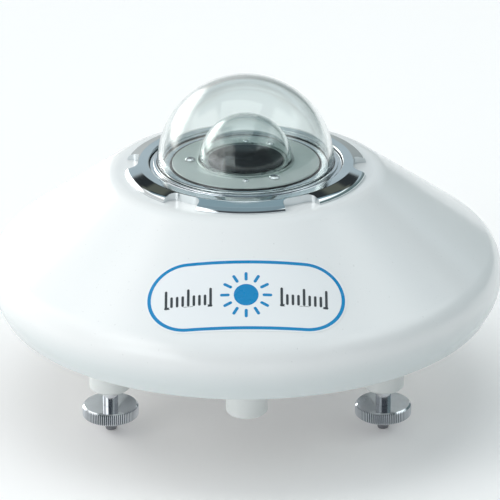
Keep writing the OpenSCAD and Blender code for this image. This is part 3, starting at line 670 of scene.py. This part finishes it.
def decal(name, outline, h0, h1, mat, holes=None):
    """A thin raised print on the label, from an outline in label coordinates. With a hole of as many points, it is a band."""
    n = len(outline)
    if holes:
        verts = [on_cone(u, v, h) for h in (h0, h1) for loop in (outline, holes) for u, v in loop]
        faces = []
        for i in range(n):
            j = (i + 1) % n
            faces.append([2 * n + i, 2 * n + j, 3 * n + j, 3 * n + i])
            faces.append([i, n + i, n + j, j])
            faces.append([i, j, 2 * n + j, 2 * n + i])
            faces.append([n + i, 3 * n + i, 3 * n + j, n + j])
        return new_object(name, verts, faces, False)
    cu, cv = sum(p[0] for p in outline) / n, sum(p[1] for p in outline) / n
    verts = [on_cone(u, v, h) for h in (h0, h1) for u, v in outline] + [on_cone(cu, cv, h0), on_cone(cu, cv, h1)]
    faces = []
    for i in range(n):
        j = (i + 1) % n
        faces.append([n + i, n + j, 2 * n + 1])
        faces.append([j, i, 2 * n])
        faces.append([i, j, n + j, n + i])
    return new_object(name, verts, faces, False)


def stadium(w, h, n=180):
    """n points along a bar with round ends, evenly spread by angle on the ends and by length on the sides."""
    r, half = h / 2, (w - h) / 2
    out = []
    k = n // 4
    for i in range(k):
        a = math.radians(-90 + 180 * i / k)
        out.append((half + r * math.cos(a), r * math.sin(a)))
    for i in range(k):
        out.append((half - 2 * half * i / k, r))
    for i in range(k):
        a = math.radians(90 + 180 * i / k)
        out.append((-half + r * math.cos(a), r * math.sin(a)))
    for i in range(k):
        out.append((-half + 2 * half * i / k, -r))
    return out


H0, H1 = 0.12, 0.185
finish_piece(decal("label_outline", stadium(73.6, 29.6), H0, H1, print_blue, stadium(71.0, 27.0)), print_blue, "shield")


def join(name, objs):
    verts, faces = [], []
    for o in objs:
        base = len(verts)
        verts += [v.co.copy() for v in o.data.vertices]
        faces += [[base + i for i in p.vertices] for p in o.data.polygons]
        bpy.data.objects.remove(o)
    me = bpy.data.meshes.new(name)
    me.from_pydata(verts, [], faces)
    me.update()
    o = bpy.data.objects.new(name, me)
    SCENE.collection.objects.link(o)
    return o


rays = [decal("r", [(4.6 * math.cos(a), 4.6 * math.sin(a)) for a in (2 * math.pi * i / 48 for i in range(48))], H0, H1, print_blue)]
for i in range(12):
    a = math.pi / 6 * i
    rays.append(decal("r", bar(7.9 * math.cos(a), 7.9 * math.sin(a), 3.6, 1.15, a), H0, H1, print_blue))
finish_piece(join("label_sun", rays), print_blue, "shield")
ticks = []
for s in (-1, 1):
    ticks.append(decal("t", bar(s * 21.5, -4.2, 18.0, 1.0, 0.0), H0, H1, print_grey))
    for i in range(9):
        tall = 7.4 if i % 4 == 0 else 4.6
        ticks.append(decal("t", bar(s * (13.2 + 2.075 * i), -4.0 + tall / 2, tall, 0.95, math.pi / 2), H0, H1 + 0.004, print_grey))
finish_piece(join("label_scale", ticks), print_grey, "shield")

# ---------------------------------------------------------------- levelling studs: smooth neck, then an M6 thread
def threaded_stud(name, cx, cy):
    """Closed stud: hole for the tip's pin, smooth neck to z 18, then a 1 mm thread as waves on a cylinder."""
    segs, rows = 64, []
    for rad, z in ((0.0, 5.3), (1.45, 5.3), (1.45, 2.2), (2.7, 2.2), (2.98, 2.5), (2.98, 17.6), (2.6, 18.0)):
        rows.append([(rad, z)] * segs)
    steps = 122
    for i in range(steps):
        z = 18.1 + 14.6 * i / (steps - 1)
        fade = min(1.0, (z - 18.1) / 1.0, (32.7 - z) / 0.6)
        row = []
        for k in range(segs):
            phase = (z - k / segs) % 1.0
            crest = max(0.0, min(1.0, (abs(phase - 0.5) - 0.06) / 0.33))
            row.append((2.42 + 0.56 * crest * max(0.0, fade), z))
        rows.append(row)
    for rad, z in ((2.4, 32.9), (2.3, 33.2), (2.0, 33.5), (0.0, 33.5)):
        rows.append([(rad, z)] * segs)
    verts = []
    for row in rows:
        for k, (rad, z) in enumerate(row):
            a = 2 * math.pi * k / segs
            verts.append(((cx + rad * math.cos(a)) * MM, (cy + rad * math.sin(a)) * MM, z * MM))
    faces = []
    for i in range(len(rows) - 1):
        for k in range(segs):
            j = (k + 1) % segs
            q = [i * segs + k, i * segs + j, (i + 1) * segs + j, (i + 1) * segs + k]
            if i == 0:
                q = [q[0], q[2], q[3]]
            elif i == len(rows) - 2:
                q = [q[0], q[1], q[2]]
            faces.append(q)
    return new_object(name, verts, faces, True, 38.0)


for side, (cx, cy) in (("left", LEFT), ("right", RIGHT)):
    finish_piece(threaded_stud(f"{side}_stud_threaded", cx, cy), stud_chrome, f"{side}_screw", [f"{side}_levelling_stud"])


# ---------------------------------------------------------------- desiccant beads and the level's bubble
def beads(name, x0, x1, cz, radius, r):
    """Gel beads packed in a tube along X: a jittered lattice of small faceted spheres."""
    verts, faces = [], []
    bm = bmesh.new()
    bmesh.ops.create_icosphere(bm, subdivisions=2, radius=1.0)
    unit = [v.co.copy() for v in bm.verts]
    tris = [[v.index for v in f.verts] for f in bm.faces]
    bm.free()
    x, layer = x0 + r, 0
    while x < x1 - r:
        for i in range(-4, 5):
            for j in range(-4, 5):
                y = (i + 0.5 * (j % 2) + (0.5 if layer % 2 else 0.0)) * 2.04 * r
                z = j * 1.77 * r + (0.58 * r if layer % 2 else 0.0)
                q = r * random.uniform(0.86, 0.98)
                if math.hypot(y, z) > radius - q:
                    continue
                base = len(verts)
                verts += [((x + u.x * q) * MM, (y + u.y * q) * MM, (cz + z + u.z * q) * MM) for u in unit]
                faces += [[base + t for t in tri] for tri in tris]
        x += 1.68 * r
        layer += 1
    me = bpy.data.meshes.new(name)
    me.from_pydata(verts, [], faces)
    me.update()
    for p in me.polygons:
        p.use_smooth = True
    o = bpy.data.objects.new(name, me)
    SCENE.collection.objects.link(o)
    return o


finish_piece(beads("gel_beads", 37.3, 58.3, 50.0, 5.65, 1.15), gel_orange, "desiccant", ["desiccant_gel"])

bubble = Mat("level_bubble", (0.90, 0.98, 0.80), 0.04)
bubble.colour(bubble.mix(bubble.remap(bubble.noise(300.0), 0.3, 0.7, 0.0, 1.0), (0.86, 0.97, 0.72), (0.94, 1.0, 0.86)))
bubble.set("IOR", 1.2)
bubble.set("Transmission Weight", 0.6)
prof = [(1.75 * math.cos(a), 44.0 + 0.32 * math.sin(a)) for a in (math.pi * i / 16 - math.pi / 2 for i in range(17))]
prof[0], prof[-1] = (0.0, 43.68), (0.0, 44.32)
finish_piece(lathe("bubble", prof, 48, centre=(-62.1, 0.4, 0.0)), bubble, "housing")
mark = [(2.55, 44.31), (2.85, 44.31), (2.85, 44.37), (2.55, 44.37)]
finish_piece(lathe("level_circle", mark, 96, centre=(-62.5, 0.0, 0.0)), level_black, "housing")


# ---------------------------------------------------------------- floor, light and camera
bpy.ops.mesh.primitive_plane_add(size=12.0, location=(0, 0, 0))
floor = bpy.context.object
floor.name = "floor"
fm = Mat("floor_paper", (0.86, 0.86, 0.86), 0.9)
fm.colour(fm.mix(fm.remap(fm.noise(2.0, 3.0), 0.3, 0.7, 0.0, 1.0), (0.885, 0.872, 0.868), (0.90, 0.888, 0.884)))
fm.set("Emission Color", (1.0, 1.0, 1.0, 1.0))
fm.set("Emission Strength", 0.12)
fm.bump(fm.noise(600.0, 3.0), 0.03, 0.0002)
floor.data.materials.append(fm.m)


def area(name, loc, aim, size, power, colour=(1, 1, 1), size_y=None):
    d = bpy.data.lights.new(name, "AREA")
    d.energy, d.color = power, colour
    d.shape, d.size = "RECTANGLE", size
    d.size_y = size_y or size
    o = bpy.data.objects.new(name, d)
    SCENE.collection.objects.link(o)
    o.location = loc
    o.rotation_mode = "QUATERNION"
    o.rotation_quaternion = (Vector(aim) - Vector(loc)).to_track_quat("-Z", "Y")
    return o


area("front_left", (-1.5, -0.95, 1.15), (0, 0, 0.06), 1.0, 3.4, (1.0, 0.995, 0.98), 1.0)
# a wide lamp overhead that evens out the white parts, and doesn't show in the polished ones
area("overhead", (-0.25, 0.10, 2.30), (0, 0.05, 0), 1.7, 19.0, (1.0, 0.995, 0.98), 1.7).visible_glossy = False

world = bpy.data.worlds.new("studio")
SCENE.world = world
world.use_nodes = True
wt = world.node_tree
bg = wt.nodes["Background"]


def wnode(kind, **props):
    n = wt.nodes.new(kind)
    for k, v in props.items():
        setattr(n, k, v)
    return n


def wstep(v, lo, hi):
    """0 below lo, 1 above hi, smooth between them."""
    n = wnode("ShaderNodeMapRange", interpolation_type="SMOOTHSTEP")
    wt.links.new(v, n.inputs["Value"])
    n.inputs["From Min"].default_value, n.inputs["From Max"].default_value = lo, hi
    return n.outputs[0]


def wmul(a, b):
    n = wnode("ShaderNodeMath", operation="MULTIPLY")
    wt.links.new(a, n.inputs[0])
    wt.links.new(b, n.inputs[1])
    return n.outputs[0]


def winv(a):
    n = wnode("ShaderNodeMath", operation="SUBTRACT")
    n.inputs[0].default_value = 1.0
    wt.links.new(a, n.inputs[1])
    return n.outputs[0]


def wmix(fac, a, b):
    n = wnode("ShaderNodeMix", data_type="RGBA")
    wt.links.new(fac, n.inputs[0])
    for sock, v in ((n.inputs[6], a), (n.inputs[7], b)):
        if hasattr(v, "links"):
            wt.links.new(v, sock)
        else:
            sock.default_value = (*v, 1.0)
    return n.outputs[2]


# a pale room under a bright ceiling: lighter at the left, dimmer and cooler at the right,
# a dark beam and a dim wall high up behind, and one large soft lamp at the left
tc = wnode("ShaderNodeTexCoord")
sep = wnode("ShaderNodeSeparateXYZ")
wt.links.new(tc.outputs["Generated"], sep.inputs[0])
WX, WY, WZ = sep.outputs[0], sep.outputs[1], sep.outputs[2]
low = wmix(wstep(WX, -0.8, 0.9), (0.74, 0.745, 0.74), (0.15, 0.21, 0.215))
ceiling = wmix(wstep(WX, -0.6, 0.9), (1.58, 1.585, 1.58), (1.44, 1.56, 1.57))
col = wmix(wstep(WZ, 0.42, 0.58), low, ceiling)
high_back = wmul(wstep(WY, 0.22, 0.42), wmul(wstep(WZ, 0.56, 0.62), winv(wstep(WZ, 0.84, 0.92))))
col = wmix(high_back, col, (0.27, 0.38, 0.43))
behind = wmul(wstep(WY, 0.55, 0.75), wmul(wstep(WZ, 0.30, 0.36), winv(wstep(WZ, 0.435, 0.47))))
col = wmix(behind, col, (0.46, 0.55, 0.60))
ax = wnode("ShaderNodeMath", operation="ABSOLUTE")
wt.links.new(WX, ax.inputs[0])
patch = wmul(wstep(WZ, 0.56, 0.585), winv(wstep(WZ, 0.645, 0.67)))
beam = wmul(wstep(WY, 0.40, 0.60), wmul(wstep(WZ, 0.435, 0.47), winv(wstep(WZ, 0.70, 0.745))))
col = wmix(beam, col, wmix(patch, (0.030, 0.036, 0.040), (0.115, 0.125, 0.105)))


def along(x, y, z=0.0):
    """Cosine of the angle to a direction, or with z 0 to its upright plane."""
    n = wnode("ShaderNodeVectorMath", operation="DOT_PRODUCT")
    wt.links.new(tc.outputs["Generated"], n.inputs[0])
    n.inputs[1].default_value = Vector((x, y, z)).normalized()
    return n.outputs["Value"]


# the room in front: an opening at the left, dim from the middle to the right, and a cool strip of ceiling from there to the back
front_open = wmul(wstep(along(-0.64, -0.77), 0.87, 0.95), wmul(wstep(WZ, -0.10, 0.02), winv(wstep(WZ, 0.38, 0.52))))
col = wmix(front_open, col, (2.7, 2.8, 2.85))
wide = wnode("ShaderNodeMath", operation="MULTIPLY_ADD")
wt.links.new(WZ, wide.inputs[0])
wide.inputs[1].default_value, wide.inputs[2].default_value = 0.22, 0.30
edge =wnode("ShaderNodeMath", operation="SUBTRACT")
wt.links.new(ax.outputs[0], edge.inputs[0])
wt.links.new(wide.outputs[0], edge.inputs[1])
strip = wmul(winv(wstep(edge.outputs[0], -0.05, 0.05)), wmul(winv(wstep(WY, 0.40, 0.60)), wstep(WZ, 0.50, 0.66)))
col = wmix(strip, col, (0.25, 0.34, 0.385))
front_right = wmul(winv(wstep(WY, -0.45, -0.25)), wmul(wstep(WX, -0.52, -0.40), wmul(wstep(WZ, -0.02, 0.06), winv(wstep(WZ, 0.56, 0.68)))))
col = wmix(front_right, col, (0.075, 0.085, 0.095))
# the lamp: a tall soft strip, left and behind
lamp = wmul(wstep(along(-0.69, 0.72), 0.85, 0.97), wmul(wstep(WZ, -0.04, 0.10), winv(wstep(WZ, 0.44, 0.64))))
col = wmix(lamp, col, (5.6, 5.6, 5.4))
wt.links.new(col, bg.inputs["Color"])
bg.inputs["Strength"].default_value = 1.0

cam_d = bpy.data.cameras.new("camera")
cam = bpy.data.objects.new("camera", cam_d)
SCENE.collection.objects.link(cam)
cam_d.sensor_width = 36.0
cam_d.lens = 36.0 * 3595.95 / 500.0
cam_d.clip_start, cam_d.clip_end = 0.05, 50.0
cam.location = (0.0015, -1.300, 0.615546)
cam.rotation_euler = (Matrix.Rotation(math.pi / 2 - 0.402269, 3, "X") @ Matrix.Rotation(math.radians(-0.25), 3, "Z")).to_euler()
SCENE.camera = cam

SCENE.view_settings.view_transform = "Standard"
SCENE.view_settings.look = "None"
SCENE.view_settings.exposure = 0.0
SCENE.cycles.use_denoising = True
SCENE.cycles.max_bounces = 16
SCENE.cycles.transmission_bounces = 14
SCENE.cycles.transparent_max_bounces = 12
SCENE.cycles.glossy_bounces = 6
